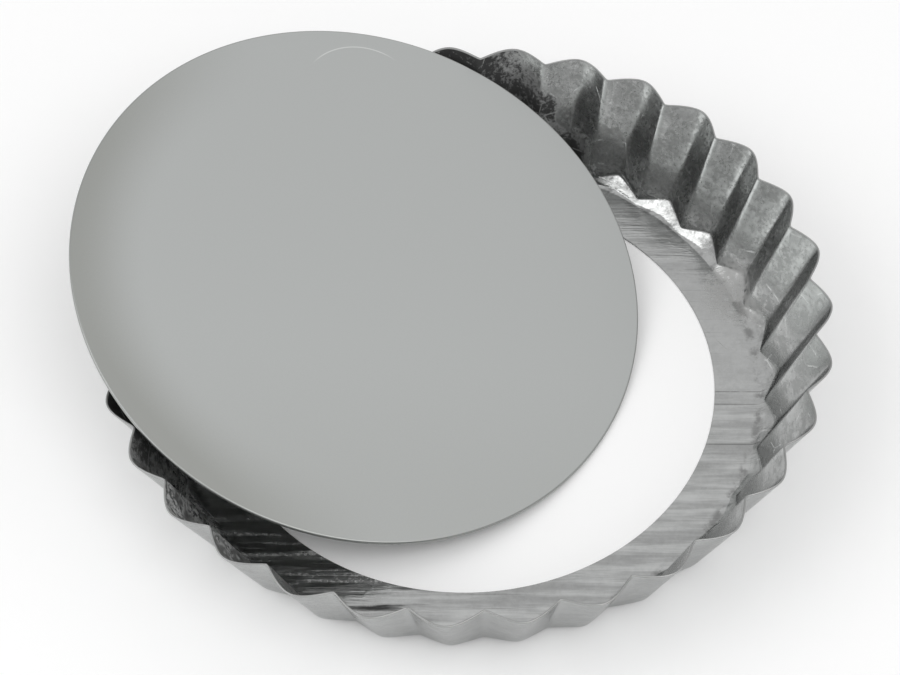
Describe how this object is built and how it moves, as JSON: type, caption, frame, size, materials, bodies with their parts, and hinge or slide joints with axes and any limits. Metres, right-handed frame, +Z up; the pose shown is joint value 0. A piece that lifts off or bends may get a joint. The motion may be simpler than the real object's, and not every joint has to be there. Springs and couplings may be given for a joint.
{
  "type": "loose-bottom tart pan",
  "caption": "Round fluted tart pan of pressed sheet steel: a flared scalloped ring with a flat inner ledge, and a loose flat base that leans on its rim and lifts out.",
  "frame": {"origin": "middle of the footprint of the ring and the leaning base, on the table", "axes": "+Z up; +X the way the leaning base slopes down, towards its low edge"},
  "size_m": [0.1262, 0.1198, 0.0319],
  "materials": {
    "ring_tinplate": "worn bright tinplate, with rolling marks along the sheet",
    "base_steel": "even satin grey with a fine grain"
  },
  "bodies": {
    "ring": {"fluted_ring": "ring_tinplate"},
    "base": {"loose_base": "base_steel"}
  },
  "joints": [
    {"name": "base_lift", "type": "slide", "parent": "ring", "child": "base", "axis": [0, 0, 1], "range_m": [0, 0.03]}
  ]
}
